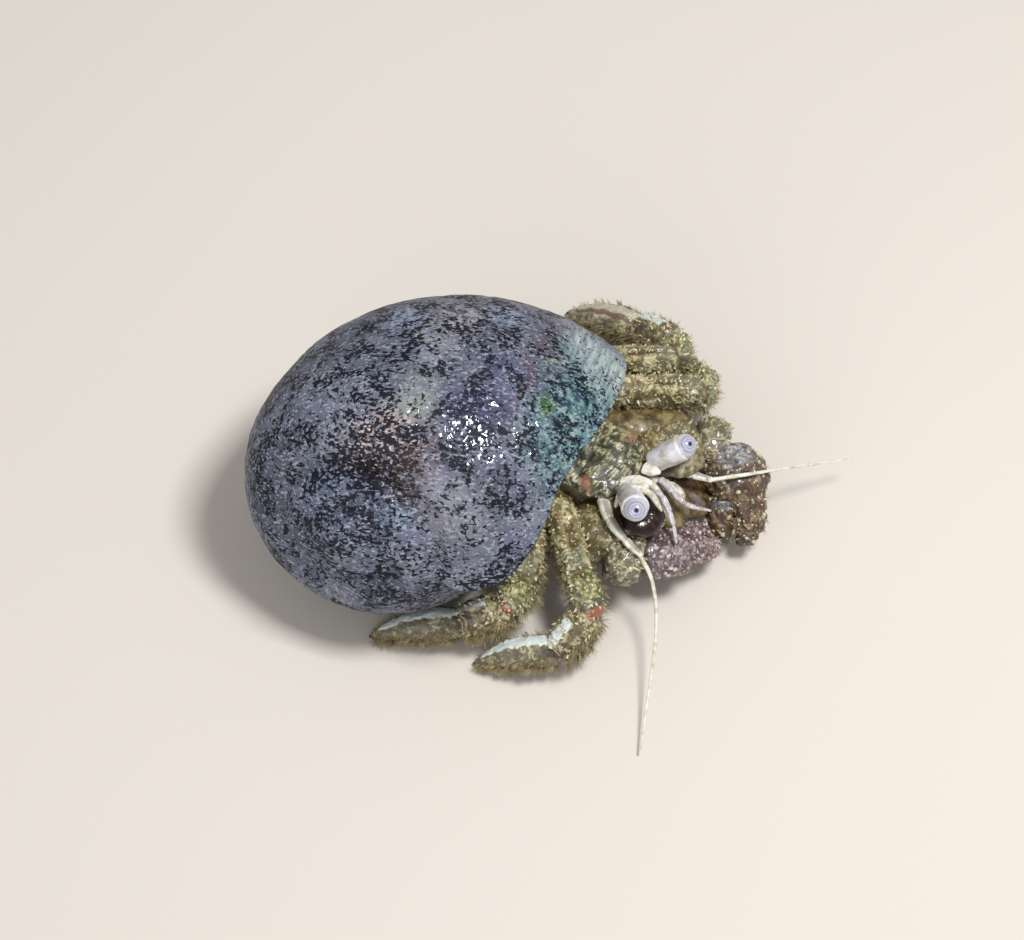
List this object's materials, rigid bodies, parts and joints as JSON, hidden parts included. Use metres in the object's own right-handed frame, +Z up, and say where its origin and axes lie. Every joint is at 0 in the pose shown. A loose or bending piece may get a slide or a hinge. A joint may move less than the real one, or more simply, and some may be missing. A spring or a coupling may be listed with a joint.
{
  "type": "hermit crab in a moon snail shell, still life-size model",
  "caption": "Hermit crab walking in an old moon snail shell, with folded claws, ringed eyes and long feelers; a still, life-size model.",
  "frame": {"origin": "middle of the bounding box, on the floor that the shell and the leg tips rest on", "axes": "+X is the way the crab faces, +Y is its left side, +Z is up"},
  "size_m": [0.0566, 0.0562, 0.0335],
  "materials": {
    "snail_shell": "worn, pitted and wet",
    "carapace": "mottled, satin, wet",
    "leg_cuticle": "mottled, satin, with short bristles",
    "claw": "granular, satin",
    "cornea": "clear gloss",
    "pale_feeler": "smooth satin",
    "soft_skin": "soft and damp"
  },
  "bodies": {
    "root": {"shell": "snail_shell", "shield": "carapace", "cornea_right": "cornea", "eyestalk_right": "pale_feeler", "cornea_left": "cornea", "eyestalk_left": "pale_feeler", "carapace": "carapace", "abdomen": "soft_skin", "claw_right_merus": "leg_cuticle", "claw_right_carpus": "leg_cuticle", "claw_right_palm": "claw", "claw_right_finger": "claw", "claw_left_merus": "leg_cuticle", "claw_left_carpus": "leg_cuticle", "claw_left_palm": "claw", "claw_left_finger": "claw", "leg2_right_merus": "leg_cuticle", "leg2_right_carpus": "leg_cuticle", "leg2_right_propodus": "leg_cuticle", "leg2_right_dactyl": "leg_cuticle", "leg3_right_merus": "leg_cuticle", "leg3_right_carpus": "leg_cuticle", "leg3_right_propodus": "leg_cuticle", "leg3_right_dactyl": "leg_cuticle", "leg2_left_merus": "leg_cuticle", "leg2_left_carpus": "leg_cuticle", "leg2_left_propodus": "leg_cuticle", "leg2_left_dactyl": "leg_cuticle", "leg3_left_merus": "leg_cuticle", "leg3_left_carpus": "leg_cuticle", "leg3_left_propodus": "leg_cuticle", "leg3_left_dactyl": "leg_cuticle", "leg4_right": "soft_skin", "leg4_left": "soft_skin", "leg5_right": "soft_skin", "leg5_left": "soft_skin", "ocular_scale_right": "pale_feeler", "ocular_scale_left": "pale_feeler", "antenna_right_peduncle": "pale_feeler", "antenna_right_acicle": "pale_feeler", "antenna_right_flagellum": "pale_feeler", "antenna_left_peduncle": "pale_feeler", "antenna_left_acicle": "pale_feeler", "antenna_left_flagellum": "pale_feeler", "antennule_right": "pale_feeler", "antennule_left": "pale_feeler", "maxilliped_right": "soft_skin", "maxilliped_left": "soft_skin", "eye_fold_right": "soft_skin", "eye_fold_left": "soft_skin"}
  },
  "joints": []
}
